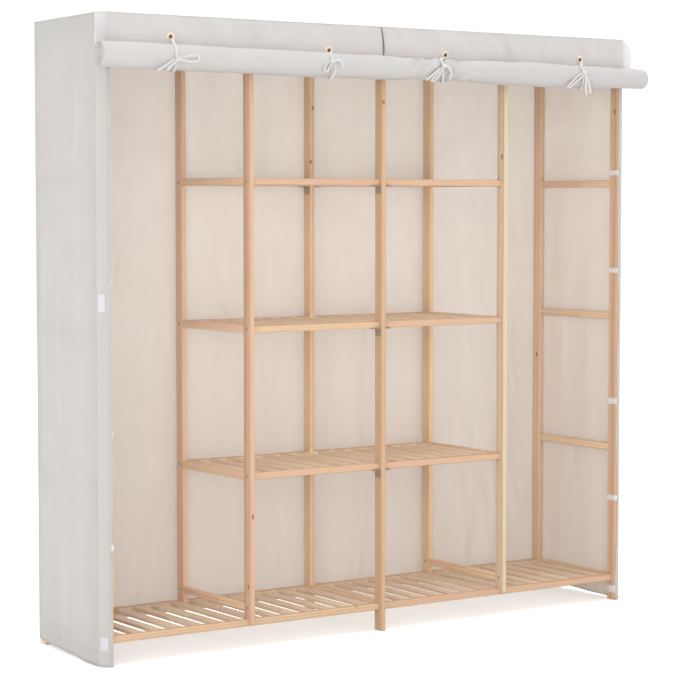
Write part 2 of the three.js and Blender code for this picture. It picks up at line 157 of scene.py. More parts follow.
def cotton(name, colour, thread, relief=0.3, mottle=2, glow=0.85, seams=(), lit_strip=None,
           shade_below_colour=None):
    """Plain-woven cotton: warp and weft threads as two crossed waves on the UV map, whose product is the
    weave's relief, with broad faint mottling in the colour. Glow is the share of light that passes in. A seam
    is a row of stitches at a place along one axis of the UV map. The lit strip is the cloth beyond a place
    along the first axis, in its own colour: painted light where the cloth faces the front. The low colour is
    painted shade: the cloth takes it under knee height, and it fades into the unshaded tone towards the top."""
    material = bare_material(name)
    uv = node(material, "ShaderNodeUVMap").outputs[0]
    threads = [node(material, "ShaderNodeTexWave", {"bands_direction": axis}, Vector=uv,
                    Scale=0.314 / thread, Distortion=0.6, Detail=1.0).outputs["Color"] for axis in "XY"]
    weave = node(material, "ShaderNodeMath", {"operation": "MULTIPLY"}, i0=threads[0], i1=threads[1])
    place = node(material, "ShaderNodeTexCoord").outputs["Object"]
    patches = node(material, "ShaderNodeTexNoise", Vector=place, Scale=9.0, Detail=5.0, Roughness=0.6)
    slubs = node(material, "ShaderNodeTexNoise", Vector=uv, Scale=420.0, Detail=2.0)
    spread = node(material, "ShaderNodeMapRange", i0=patches.outputs[0], i1=0.3, i2=0.7, i3=0.0, i4=1.0)
    shade, light = [linear(np.array(colour) + mottle * step) for step in (-1, 1)]
    tone = node(material, "ShaderNodeMix", {"data_type": "RGBA"}, Factor=spread.outputs[0],
                i6=shade, i7=light)
    # Painted shade: the colour darkens from the cloth's own tone at 1.5 m to the low colour under half a
    # metre.
    if shade_below_colour:
        height = node(material, "ShaderNodeSeparateXYZ", Vector=place)
        unshaded_share = node(material, "ShaderNodeMapRange", i0=height.outputs[2], i1=0.5, i2=1.5, i3=0.0, i4=1.0)
        tone = node(material, "ShaderNodeMix", {"data_type": "RGBA"}, Factor=unshaded_share.outputs[0],
                    i6=linear(shade_below_colour), i7=tone.outputs[2])
    fine = node(material, "ShaderNodeMapRange", i0=slubs.outputs[0], i1=0.35, i2=0.65, i3=0.965, i4=1.0)
    speck = node(material, "ShaderNodeMix", {"data_type": "RGBA", "blend_type": "MULTIPLY"}, Factor=1.0,
                 i6=tone.outputs[2], i7=fine.outputs[0])
    sewn = speck.outputs[2]
    # Painted light: beyond its start the cloth takes the strip's lighter colour, for the light from the front
    # on the strip by the crease.
    if lit_strip:
        start, lit_strip_tone = lit_strip
        fade = 0.002
        split = node(material, "ShaderNodeSeparateXYZ", Vector=uv)
        lit_strip_mask = node(material, "ShaderNodeMapRange", {"interpolation_type": "SMOOTHSTEP"},
                       i0=split.outputs[0], i1=start - fade, i2=start + fade, i3=0.0, i4=1.0)
        sewn = node(material, "ShaderNodeMix", {"data_type": "RGBA"}, Factor=lit_strip_mask.outputs[0], i6=sewn,
                    i7=linear(lit_strip_tone)).outputs[2]
    half_seam, stitch_period, stitch_length, stitch_share = 0.0007, 0.0034, 0.0025, 0.35
    for axis, at in seams:
        split = node(material, "ShaderNodeSeparateXYZ", Vector=uv)
        offset = node(material, "ShaderNodeMath", {"operation": "SUBTRACT"}, i0=split.outputs[axis], i1=at)
        distance = node(material, "ShaderNodeMath", {"operation": "ABSOLUTE"}, i0=offset.outputs[0])
        line = node(material, "ShaderNodeMath", {"operation": "LESS_THAN"}, i0=distance.outputs[0],
                    i1=half_seam)
        steps = node(material, "ShaderNodeMath", {"operation": "WRAP"}, i0=split.outputs[1 - axis], i1=0.0,
                     i2=stitch_period)
        stitch = node(material, "ShaderNodeMath", {"operation": "LESS_THAN"}, i0=steps.outputs[0],
                      i1=stitch_length)
        dashed = node(material, "ShaderNodeMath", {"operation": "MULTIPLY"}, i0=line.outputs[0],
                      i1=stitch.outputs[0])
        share = node(material, "ShaderNodeMath", {"operation": "MULTIPLY"}, i0=dashed.outputs[0],
                     i1=stitch_share)
        sewn = node(material, "ShaderNodeMix", {"data_type": "RGBA"}, Factor=share.outputs[0], i6=sewn,
                    i7=linear(np.array(colour) * 0.6)).outputs[2]
    bump = node(material, "ShaderNodeBump", Strength=relief, Distance=thread / 3, Height=weave.outputs[0])
    return surface_of(material, Base_Color=sewn, Roughness=0.9, Specular_IOR_Level=0.2,
                      Subsurface_Weight=glow, Subsurface_Radius=(1.0, 0.97, 0.94), Subsurface_Scale=0.006,
                      Sheen_Weight=0.08, Sheen_Roughness=0.6, Normal=bump.outputs[0])


def piece_from(name, vertices, faces, material, uv=None, smooth=True):
    """A mesh object at the origin from arrays of vertices and faces, with an optional UV per vertex."""
    mesh = bpy.data.meshes.new(name)
    mesh.from_pydata(np.asarray(vertices).tolist(), [], [list(face) for face in faces])
    mesh.polygons.foreach_set("use_smooth", np.full(len(mesh.polygons), smooth))
    if uv is not None:
        corners = np.zeros(len(mesh.loops), np.int32)
        mesh.loops.foreach_get("vertex_index", corners)
        mesh.uv_layers.new(name="UVMap").data.foreach_set("uv", np.asarray(uv)[corners].ravel())
    mesh.materials.append(material)
    made = bpy.data.objects.new(name, mesh)
    bpy.context.scene.collection.objects.link(made)
    return made


def unit(vectors):
    """The vectors along the last axis, each divided by its own length."""
    return vectors / np.linalg.norm(vectors, axis=-1, keepdims=True)


def rope_path(points, spacing):
    """A centripetal Catmull-Rom curve through the points, sampled at even spacing: each span is a cubic
    whose end slopes come from its neighbours, weighted by the square root of the distances."""
    points = np.array(points, float)
    ends = np.vstack([2 * points[0] - points[1], points, 2 * points[-1] - points[-2]])
    gap = np.sqrt(np.linalg.norm(np.diff(ends, axis=0), axis=1))[:, None]
    step = np.diff(ends, axis=0) / gap
    wide = (ends[2:] - ends[:-2]) / (gap[:-1] + gap[1:])
    slope = step[:-1] - wide + step[1:]
    a, b = points[:-1], points[1:]
    out, into = slope[:-1] * gap[1:-1], slope[1:] * gap[1:-1]
    t = np.linspace(0, 1, 24, endpoint=False)[None, :, None]
    curve = (a[:, None] * (2 * t**3 - 3 * t**2 + 1) + out[:, None] * (t**3 - 2 * t**2 + t)
             + b[:, None] * (3 * t**2 - 2 * t**3) + into[:, None] * (t**3 - t**2))
    curve = np.vstack([curve.reshape(-1, 3), points[-1]])
    length = np.concatenate([[0], np.cumsum(np.linalg.norm(np.diff(curve, axis=0), axis=1))])
    at = np.linspace(0, length[-1], int(length[-1] / spacing) + 1)
    return np.stack([np.interp(at, length, curve[:, axis]) for axis in range(3)], 1), length[-1]


def swept(name, path, outward, section, material, width=1.0):
    """A closed outline carried along a path: at each point it lies across the path, its first measure
    along (path direction x outward), times that point's width, and its second along the part of outward
    square to the path. Both ends are closed."""
    ahead = unit(np.gradient(path, axis=0))
    side = unit(np.cross(ahead, outward))
    upward = np.cross(side, ahead)
    width = np.broadcast_to(width, len(path))[:, None, None]
    rings = (path[:, None] + width * section[None, :, :1] * side[:, None]
             + section[None, :, 1:] * upward[:, None])
    count, around = rings.shape[:2]
    index = np.arange(count * around).reshape(count, around)
    before, after = index[:-1], index[1:]
    faces = np.stack([before, after, np.roll(after, -1, 1), np.roll(before, -1, 1)], -1).reshape(-1, 4)
    faces = [*faces.tolist(), index[0].tolist(), index[-1][::-1].tolist()]
    run = np.concatenate([[0], np.cumsum(np.linalg.norm(np.diff(path, axis=0), axis=1))])
    girth = np.concatenate([[0], np.cumsum(np.linalg.norm(np.diff(section, axis=0), axis=1))])
    uv = np.stack(np.meshgrid(girth, run), -1).reshape(-1, 2)
    return piece_from(name, rings.reshape(-1, 3), faces, material, uv)


def tape_section(width, thickness, points=12):
    """A flat outline with rounded sides: a superellipse, |x/a|^4 + |y/b|^4 = 1, run anticlockwise."""
    angle = np.linspace(0, 2 * np.pi, points, endpoint=False)
    x, y = np.cos(angle), np.sin(angle)
    return np.stack([width / 2 * np.sign(x) * np.abs(x) ** 0.5,
                     thickness / 2 * np.sign(y) * np.abs(y) ** 0.5], 1)


def roll_axis(x):
    """The level of the roll's axis at x: half a parabola, level at the right end and rising to the left."""
    return roll_level + roll_rise * ((1 - x / roll_half_length) / 2) ** 2


def tie_route(eyelet, knot, tail, loop, last):
    """The tie's points: a tail up to the knot, the loop, over the roll to the eyelet, down behind the
    header, under the roll, and up over the knot into the last tail. On the roll a point keeps the roll's
    radius; below the axis, tails and loops hang nearly straight down."""
    step = roll_radius / 100
    centre = roll_axis(eyelet[0])

    def on_roll(across, degrees):
        radius = roll_radius - roll_tightening * ((degrees / 360 + 0.5) % 1) + tie_lift
        angle = math.radians(degrees)
        return (eyelet[0] + across * step, roll_y - radius * math.cos(angle),
                centre + radius * math.sin(angle))

    def before(across, up, layer=0.0):
        radius = roll_radius - roll_tightening / 2 + tie_lift + layer * tie_layer
        held = up * step * (tie_hang if up < 0 else 1)
        return (eyelet[0] + across * step, roll_y - math.sqrt(radius**2 - held**2), centre + up * step)

    def near(across, up, layer=0.0):
        return before(knot[0] + across, knot[1] + up, layer)

    def over(share, climb):
        return on_roll(knot[0] * share, lean + (90 - lean) * climb)

    def under(share, climb):
        return on_roll(knot[0] * share, under_start + (under_end + lean - under_start) * climb)

    def free(across, back, up):
        return (eyelet[0] + across * step, cloth_front + back * step, lip + up * step)

    lean = math.degrees(math.asin(knot[1] / 100))
    lip = eyelet[2] - eyelet_drop
    return [
        *[before(*point) for point in tail], near(8, 4), *[before(*point) for point in loop[:-1]],
        before(*loop[-1], 0.8), near(-6, 8, 1), over(1, 0.4), over(0.88, 0.65), over(0.6, 0.95),
        free(-3, -33, 0), free(0, -17, 0), free(0, 10, 0), free(-3, 27, -11), free(-6, 24, -39),
        free(-14, 6, -80), (eyelet[0] - 22 * step, cloth_front, centre - 11 * step),
        under(0.3, 0), under(0.45, 0.2), under(0.6, 0.4), under(0.8, 0.6), under(0.95, 0.8), under(1, 1),
        near(3, -14, 1), near(0, 3, 2),
        *[before(*point, layer) for point, layer in zip(last, (1.4, 0.5, 0.0, 0.0))],
    ]


def knot_shape(centre, outward, size):
    """A soft lump of wrapped tape: an ellipsoid of three half sizes, across, up the roll and outward,
    whose radius swells in slanted ridges where the tape goes round it."""
    turn, rise = np.meshgrid(np.linspace(0, 2 * np.pi, 24, endpoint=False), np.linspace(0, np.pi, 15)[1:-1])
    ridge = 1 + 0.10 * np.cos(3 * (turn + 1.2 * np.cos(rise))) * np.sin(rise)
    across, up = np.array([1.0, 0, 0]), np.cross([1.0, 0, 0], outward)
    ball = ((np.cos(turn) * np.sin(rise) * ridge * size[0])[..., None] * across
            + (np.cos(rise) * size[1])[..., None] * up
            + (np.sin(turn) * np.sin(rise) * ridge * size[2])[..., None] * outward)
    count, around = turn.shape
    index = np.arange(count * around).reshape(count, around)
    faces = np.stack([index[:-1], np.roll(index, -1, 1)[:-1], np.roll(index, -1, 1)[1:], index[1:]], -1)
    poles = [count * around, count * around + 1]
    first = [[poles[0], int(b), int(a)] for a, b in zip(index[0], np.roll(index[0], -1))]
    last = [[poles[1], int(a), int(b)] for a, b in zip(index[-1], np.roll(index[-1], -1))]
    points = np.vstack([ball.reshape(-1, 3), up * size[1], -up * size[1]]) + centre
    uv = np.stack([turn, rise], -1).reshape(-1, 2) / 200
    return points, [*faces.reshape(-1, 4).tolist(), *first, *last], uv


tape = cotton("cotton_tape", tape_colour, 0.0007, relief=0.35, mottle=3)
axis_line = np.array([0, roll_y, roll_level + roll_rise / 4])
for number, (knot, tail, loop, last) in enumerate(tie_bows, 1):
    low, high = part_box(f"eyelet_{number}")
    eyelet = (low + high) / 2
    path, length = rope_path(tie_route(eyelet, knot, tail, loop, last), tie_spacing)
    away = (path - axis_line) * [0, 1, 1]
    ahead = unit(np.gradient(path, axis=0))
    bend = np.linalg.norm(np.gradient(ahead, axis=0), axis=1) / tie_spacing
    narrow = np.convolve(1 / np.sqrt(1 + (0.5 * tape_width * bend) ** 2), np.ones(9) / 9, "same")
    narrow[:5], narrow[-5:] = narrow[5], narrow[-6]
    tie = swept(f"tape_{number}", path, away, tape_section(tape_width, tape_thickness), tape, narrow)
    angle = math.asin(knot[1] / 100)
    outward = np.array([0, -math.cos(angle), math.sin(angle)])
    knot_centre = (axis_line + outward * (roll_radius + knot_lift)
                   + [eyelet.x + knot[0] * roll_radius / 100, 0, 0])
    points, faces, uv = knot_shape(knot_centre, outward, knot_size)
    knot_lump = piece_from(f"tape_knot_{number}", points, faces, tape, np.vstack([uv, [[0, 0], [0, 0]]]))
    for made in (tie, knot_lump):
        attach(made, "frame")
        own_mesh(made)
    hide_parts(f"tie_{number}")

# Frame: planed pine posts, rungs, rails and slats. The frame's solids stay, and each takes pine whose rings
# run along its own length, in a tone that goes by where it stands. The back posts and rungs are painted
# lighter, as painted light against the shade inside the cover; the centre front post is of warmer wood and
# the inner right front one of paler wood.
pine_light = (227, 193, 160)
pine_dark = (212, 173, 135)
# Painted light: the slats' lighter tone lifts the shade on their tops between the rails.
slat_light = (246, 224, 199)
slat_dark = (231, 199, 165)
warm_light, warm_dark = (218, 184, 152), (203, 165, 128)
# Painted light: the back posts and rungs take this lighter tone to lift the shade inside the cover.
shade_lift_light, shade_lift_dark = (246, 214, 184), (234, 197, 160)
pale_light, pale_dark = (232, 212, 181), (218, 194, 157)
knot_brown = (150, 98, 60)
ring_spacing = 0.0042
rail_face = 0.165
deck_slat_step = 0.0601
shelf_slat_step = 0.05906
endless = 5.0


def board_noise(material, place, step):
    """White noise of the place rounded down to steps: one value and one colour for each cell."""
    snapped = node(material, "ShaderNodeVectorMath", {"operation": "SNAP"}, i0=place, i1=step)
    return node(material, "ShaderNodeTexWhiteNoise", {"noise_dimensions": "3D"}, Vector=snapped.outputs[0])


def pine_rings(material, place, board, along):
    """Growth rings round a pith beside the board: the distance from a line along the grain, bent by slow
    noise that is drawn out along it. Board is a colour that moves the pith from board to board."""
    stretch = {"x": (0.05, 1, 1), "y": (1, 0.05, 1), "z": (1, 1, 0.05)}[along]
    pith = node(material, "ShaderNodeVectorMath", {"operation": "MULTIPLY_ADD"}, i0=board,
                i1=(0.11, 0.11, 0.11), i2=place)
    drawn = node(material, "ShaderNodeVectorMath", {"operation": "MULTIPLY"}, i0=pith.outputs[0], i1=stretch)
    rings = node(material, "ShaderNodeTexWave", {"wave_type": "RINGS", "rings_direction": along.upper()},
                 Vector=drawn.outputs[0], Scale=0.314 / ring_spacing, Distortion=5.0, Detail=2.0,
                 Detail_Scale=0.22, Detail_Roughness=0.5)
    fibre_size = tuple(700 if value == 1 else 14 for value in stretch)
    thin = node(material, "ShaderNodeVectorMath", {"operation": "MULTIPLY"}, i0=place, i1=fibre_size)
    fibres = node(material, "ShaderNodeTexNoise", Vector=thin.outputs[0], Scale=1.0, Detail=3.0)
    return rings.outputs["Fac"], fibres.outputs[0]


def pine(name, along, board_step, knots=(), light=pine_light, dark=pine_dark):
    """Planed pine: rings and fibres along one axis, or in a deck along Y between its rails and along X in
    them, in a tone that goes by the place in steps of board_step. A few knots are scattered in it, and the
    others have the centres and sizes given."""
    material = bare_material(name)
    place = node(material, "ShaderNodeTexCoord").outputs["Object"]
    board = board_noise(material, place, board_step)
    rings, fibres = pine_rings(material, place, board.outputs["Color"], along[0])
    board_tone = board.outputs["Value"]
    if len(along) > 1:
        split = node(material, "ShaderNodeSeparateXYZ", Vector=place)
        middle = (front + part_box("post_centre_back")[1].y) / 2
        offset = node(material, "ShaderNodeMath", {"operation": "SUBTRACT"}, i0=split.outputs[1], i1=middle)
        distance = node(material, "ShaderNodeMath", {"operation": "ABSOLUTE"}, i0=offset.outputs[0])
        in_rail = node(material, "ShaderNodeMath", {"operation": "GREATER_THAN"}, i0=distance.outputs[0],
                       i1=rail_face)
        rail = board_noise(material, place, (endless, *board_step[1:]))
        rail_rings, rail_fibres = pine_rings(material, place, rail.outputs["Color"], along[1])
        board_tone = node(material, "ShaderNodeMix", i0=in_rail.outputs[0], i2=board_tone,
                          i3=rail.outputs["Value"]).outputs[0]
        rings = node(material, "ShaderNodeMix", i0=in_rail.outputs[0], i2=rings, i3=rail_rings).outputs[0]
        fibres = node(material, "ShaderNodeMix", i0=in_rail.outputs[0], i2=fibres, i3=rail_fibres).outputs[0]
    late = node(material, "ShaderNodeMapRange", {"interpolation_type": "SMOOTHSTEP"},
                i0=rings, i1=0.35, i2=1.0, i3=0.0, i4=0.85)
    grain = node(material, "ShaderNodeMix", {"data_type": "RGBA"}, Factor=late.outputs[0],
                 i6=linear(light), i7=linear(dark))
    if len(along) > 1:
        # Painted light: between the rails the slats take a lighter tone, lifting the shade on their tops.
        slats = node(material, "ShaderNodeMix", {"data_type": "RGBA"}, Factor=late.outputs[0],
                     i6=linear(slat_light), i7=linear(slat_dark))
        grain = node(material, "ShaderNodeMix", {"data_type": "RGBA"}, Factor=in_rail.outputs[0],
                     i6=slats.outputs[2], i7=grain.outputs[2])
    streak = node(material, "ShaderNodeMapRange", i0=fibres, i1=0.3, i2=0.7, i3=0.94, i4=1.03)
    streaked = node(material, "ShaderNodeMix", {"data_type": "RGBA", "blend_type": "MULTIPLY"}, Factor=1.0,
                    i6=grain.outputs[2], i7=streak.outputs[0])
    hue = node(material, "ShaderNodeMapRange", i0=board_tone, i1=0.0, i2=1.0, i3=0.488, i4=0.508)
    value = node(material, "ShaderNodeMapRange", i0=board_tone, i1=0.0, i2=1.0, i3=0.97, i4=1.03)
    toned = node(material, "ShaderNodeHueSaturation", Hue=hue.outputs[0], Value=value.outputs[0],
                 Color=streaked.outputs[2])
    colour = toned.outputs[0]
    scattered = node(material, "ShaderNodeVectorMath", {"operation": "MULTIPLY"}, i0=place, i1=(7, 7, 4))
    cells = node(material, "ShaderNodeTexVoronoi", Vector=scattered.outputs[0], Scale=1.0)
    distances = [(cells.outputs["Distance"], 0.045)]
    for centre, size in knots:
        away = node(material, "ShaderNodeVectorMath", {"operation": "SUBTRACT"}, i0=place, i1=centre)
        drawn = node(material, "ShaderNodeVectorMath", {"operation": "MULTIPLY"}, i0=away.outputs[0],
                     i1=(1, 1, 0.6))
        reach = node(material, "ShaderNodeVectorMath", {"operation": "LENGTH"}, i0=drawn.outputs[0])
        distances.append((reach.outputs[1], size))
    for distance, size in distances:
        knot = node(material, "ShaderNodeMapRange", {"interpolation_type": "SMOOTHSTEP"}, i0=distance,
                    i1=size, i2=size * 0.45, i3=0.0, i4=0.8)
        colour = node(material, "ShaderNodeMix", {"data_type": "RGBA"}, Factor=knot.outputs[0], i6=colour,
                      i7=linear(knot_brown)).outputs[2]
    eased = node(material, "ShaderNodeBevel", {"samples": 6}, Radius=0.0025)
    bump = node(material, "ShaderNodeBump", Strength=0.25, Distance=0.0002, Height=fibres,
                Normal=eased.outputs[0])
    return surface_of(material, Base_Color=colour, Roughness=0.58, Specular_IOR_Level=0.35,
                      Normal=bump.outputs[0])


pitch = 0.428
post_knots = [((-0.002, front, 1.462), 0.0055), ((-pitch, front, 0.353), 0.0055),
              ((0.002, 0.195, 1.458), 0.006), ((-pitch - 0.007, front + 0.012, 0.164), 0.0055),
              ((-0.004, 0.195, 1.304), 0.005), ((2 * pitch - 0.007, front + 0.014, 1.455), 0.006)]
post_step = (pitch / 2, 0.19, endless)
post_pine = pine("pine_posts", "z", post_step, post_knots)
centre_pine = pine("pine_centre_posts", "z", post_step, post_knots, warm_light, warm_dark)
pale_pine = pine("pine_pale_posts", "z", post_step, post_knots, pale_light, pale_dark)
shade_lift_pine = pine("pine_back_posts", "z", post_step, post_knots, shade_lift_light, shade_lift_dark)
rung_pine = pine("pine_rungs", "y", (pitch / 2, endless, 0.05), (), shade_lift_light, shade_lift_dark)
rail_pine = pine("pine_rails", "x", (endless, 0.05, 0.2))
deck_pine = pine("pine_decks", "yx", (deck_slat_step, rail_face, 0.1))
shelf_pine = pine("pine_shelves", "yx", (shelf_slat_step, rail_face, 0.1))
pine_for = {"post_centre": centre_pine, "post_inner_right_front": pale_pine, "post": post_pine,
            "rung": rung_pine, "rod": rung_pine, "top": rail_pine, "hanging": rail_pine,
            "deck": deck_pine, "shelf": shelf_pine}
for name, solid in frame["nodes"].items():
    chosen = [made for start, made in pine_for.items() if name.startswith(start)]
    if name.startswith("post") and name.endswith("back"):
        chosen = [shade_lift_pine]
    if chosen:
        solid.data.materials.clear()
        solid.data.materials.append(chosen[0])

# Cover, side panels: off-white cotton from the back corners along the end ladders to a crease, round the
# front posts and a little over their faces. Between the posts they hang in broad shallow folds.
# The side panels' cloth is painted darker than the cover's, as painted shade against the lamp on the sides,
# and its strip that faces the front is painted lighter, as painted light.
cover_colour = (221, 217, 215)
panel_shaded_colour = (187, 184, 180)
strip_lit_colour = (206, 202, 198)
# Painted light: the cover's inner face is warmer and lighter than its outer faces, standing in for warm light
# bounced off the pine inside.
inner_lit_colour = (224, 215, 208)
# Painted shade: the inside of the cover darkens to this colour towards the floor.
inner_low_shade_colour = (207, 198, 191)
roof_colour = (206, 203, 200)
cloth_thickness = 0.0014
hole_radius = 0.0088
thread = 0.0009
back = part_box("post_centre_back")[1].y
half_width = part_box("post_right_front")[1].x
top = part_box("post_centre_front")[1].z
cloth_wall = half_width + 0.0015
panel_top = top - 0.0003
corner_rounding = 0.0035
panel_face = cloth_front - 0.001
panel_return = 0.012
crease_y = front + 0.018
left_crease, right_crease = 0.018, 0.003
left_pulls = [(0.22, 0.14, 0.0055)]
right_pulls = [(0.86, 0.10, 0.0045), (0.27, 0.14, 0.005)]
hem_level, hem_slope = 0.014, 0.013
wave_depth, fold_depth = 0.004, 0.0035
lit_strip_start = 0.371


def ripples(u, v, seed, count, longest, shortest, slant=0.35):
    """Soft random folds from 0 to 1: a sum of count sine waves over two measures in metres, each with its
    own wavelength, slant and phase, weighted by its wavelength and eased into rounded ridges."""
    dice = np.random.default_rng(seed)
    total = np.zeros(np.broadcast(u, v).shape)
    for wavelength in np.geomspace(longest, shortest, count):
        turn, phase = dice.normal(0, slant), dice.uniform(0, 2 * np.pi)
        along = u * math.cos(turn) + v * math.sin(turn)
        total += wavelength / longest * np.sin(2 * np.pi * along / wavelength + phase)
    return 0.5 + 0.5 * np.tanh(total)


def cloth_piece(name, grid, uv, materials, thickness=cloth_thickness, holes=()):
    """Cloth from a grid of points, rows by columns, whose outer side is (along a row) x (along a column):
    quads with a UV map in metres, left out round the holes, then an even wall whose inner side takes the
    last material."""
    rows, columns = grid.shape[:2]
    index = np.arange(rows * columns).reshape(rows, columns)
    faces = np.stack([index[:-1, :-1], index[:-1, 1:], index[1:, 1:], index[1:, :-1]], -1).reshape(-1, 4)
    middles = grid.reshape(-1, 3)[faces].mean(1)
    for hole in holes:
        faces = faces[np.linalg.norm(middles - hole, axis=1) > hole_radius]
        middles = middles[np.linalg.norm(middles - hole, axis=1) > hole_radius]
    uv = np.stack(np.broadcast_arrays(*uv), -1).reshape(-1, 2)
    made = piece_from(name, grid.reshape(-1, 3), faces, materials[0], uv)
    for material in materials[1:]:
        made.data.materials.append(material)
    wall = made.modifiers.new("wall", "SOLIDIFY")
    wall.thickness, wall.offset, wall.material_offset = thickness, 0, len(materials) - 1
    return made


def eased_plan(corners, stations, rounding):
    """Points of a plan of straight runs at the given running lengths, each the mean of the plan within a
    rounding's length on either side, less towards the two ends, which rounds the corners."""
    corners = np.array(corners)
    length = np.concatenate([[0], np.cumsum(np.linalg.norm(np.diff(corners, axis=0), axis=1))])
    spread = np.linspace(-rounding, rounding, 15)[:, None] * np.minimum(1, np.minimum(
        stations, length[-1] - stations) / rounding)
    at = stations + spread
    return np.stack([np.interp(at, length, corners[:, axis]).mean(0) for axis in range(2)], 1)


cotton_cover = cotton("cotton_cover", roof_colour, thread)
cotton_panels = cotton("cotton_panels", panel_shaded_colour, thread, seams=[(0, 0.006), (1, 0.034)],
                       lit_strip=(lit_strip_start, strip_lit_colour))
# The inner faces' cloth carries painted light, warmer and lighter than the outside, and painted shade near
# the floor.
cotton_inner_lit = cotton("cotton_inner_lit", inner_lit_colour, thread, mottle=4, shade_below_colour=inner_low_shade_colour)
for name, sign, crease, seed, pulls in (("left", -1, left_crease, 3, left_pulls),
                                        ("right", 1, right_crease, 8, right_pulls)):
    corners = [(cloth_wall, back), (cloth_wall + crease, crease_y), (cloth_wall, panel_face),
               (half_width - panel_return, panel_face)]
    runs = np.cumsum([math.dist(a, b) for a, b in zip(corners, corners[1:])])
    stations = np.concatenate([np.linspace(0, runs[0], 48, endpoint=False),
                               np.linspace(runs[0], runs[2], 24)])
    plan = eased_plan(corners, stations, corner_rounding)
    share = np.clip(stations / runs[0], 0, 1)
    up = np.linspace(0, 1, 150)[:, None]
    hem = hem_level - hem_slope * share
    level = hem + (panel_top - hem) * up
    between = (1 - np.cos(2 * np.pi * share * 3)) / 2
    loose = np.sin(np.pi * share) ** 0.6
    folds = ripples(stations[None], level * 0.25, seed, 7, 0.22, 0.05)
    bulge = wave_depth * between * (1 - up) + fold_depth * loose * folds * (1 - 0.5 * up)
    free = np.clip((stations - runs[1]) / (runs[2] - runs[1]), 0, 1)
    pull = sum(depth * np.exp(-((level - middle_z) / reach_z) ** 4) for middle_z, reach_z, depth in pulls)
    outer = sign * (plan[:, 0] + bulge + pull * free)
    grid = np.stack([outer, plan[:, 1] + 0 * level, level], -1)[:, ::-sign]
    panel = cloth_piece(f"panel_{name}", grid, (stations[None, ::-sign], level[:, ::-sign]),
                        [cotton_panels, cotton_inner_lit])
    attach(panel, "frame")
    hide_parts(f"cover_{name}")

# Cover, back panel: one wide piece of the roof's cloth, sewn to the side panels, with upright folds between
# the back posts.
back_hem = 0.040
back_gap = 0.0016
pleat_depth, back_fold_depth = 0.004, 0.0085
across = np.linspace(0, 1, 260)[None]
up = np.linspace(0, 1, 110)[:, None]
x = half_width * (1 - 2 * across)
level = back_hem + (panel_top - back_hem) * up
free_of_posts = np.abs(np.sin(np.pi * x / pitch)) ** 0.5
folds = ripples(x, level, 21, 11, 0.34, 0.04, slant=0.16)
pleats = (1 - np.cos(20 * np.pi * across)) / 2
bulge = (pleat_depth * pleats + back_fold_depth * folds * free_of_posts) * np.sqrt(1 - up * 0.9)
grid = np.stack([x + 0 * level, back + back_gap + bulge, level + 0 * x], -1)
cotton_back = cotton("cotton_back", roof_colour, thread, seams=[(1, 0.056)])
panel = cloth_piece("panel_back", grid, (x, level), [cotton_back, cotton_inner_lit])
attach(panel, "frame")
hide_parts("cover_back")

# Cover, roof: lies on the rails and ladders, sags a little in the middle of each bay and meets the side
# panels' creases.
roof_sag, roof_ripple = 0.005, 0.003
roof_lap, roof_front_lap = 0.0025, 0.0043
roof_gap = 0.0013
middle = (front + back) / 2
y = np.linspace(cloth_front - roof_front_lap, back + roof_lap, 60)[:, None]
flare = np.interp(y, [cloth_front, crease_y, back], [0, 1, 0])
across = np.linspace(0, 1, 220)[None]
roof_width = 2 * half_width + 2 * roof_lap + (left_crease + right_crease) * flare
x = -half_width - roof_lap - left_crease * flare + roof_width * across
in_bay = np.where(np.abs(x) < 2 * pitch, np.sin(np.pi * x / pitch) ** 2, 0)
between = np.where(np.abs(y - middle) < rail_face, np.cos(np.pi / 2 * (y - middle) / rail_face), 0)
sag = (roof_sag + roof_ripple * ripples(x, y, 5, 7, 0.3, 0.06, slant=1.0)) * in_bay * between
grid = np.stack([x + 0 * y, y + 0 * x, top + roof_gap - sag], -1)
roof = cloth_piece("roof", grid, (x, y), [cotton_cover, cotton_inner_lit])
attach(roof, "frame")
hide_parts("cover_roof")

# Header: the curtain's fixed top strip, in two halves that meet at the zip. It hangs in front of the side
# panels' returns and puckers softly between the eyelets. Its left end lies round the panel's chamfer to the
# crease; its right end flares past the frame and curls back.
header_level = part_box("cover_header")[0].z
header_middle = cloth_front - 0.0033
zip_gap = 0.005
right_overhang = 0.040
header_gap = 0.0012
wrap_end = (-cloth_wall - 0.0205, front + 0.0165)
wrap_rounding = 0.006
flat_round_eyelet = 0.018
pucker_depth = 0.0035
cotton_header = cotton("cotton_header", cover_colour, thread, seams=[(1, header_level + 0.008)])
up = np.linspace(0, 1, 40)[:, None]
level = header_level + (panel_top - header_level) * up
flare = np.sin(np.pi * (1 - up) * 0.72) ** 0.6
zip_line = -0.0135 + 0.008 * np.sin(np.pi * (1 - up) * 0.75)
eyelets = [(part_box(f"eyelet_{number}")[0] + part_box(f"eyelet_{number}")[1]) / 2 for number in (1, 2, 3, 4)]
wrap = [(0, header_middle), (-cloth_wall - header_gap, header_middle), wrap_end]
wrap_length = sum(math.dist(a, b) for a, b in zip(wrap, wrap[1:]))
wrap_run = np.linspace(0, wrap_length, 700)
wrapped = eased_plan(wrap, wrap_run, wrap_rounding)
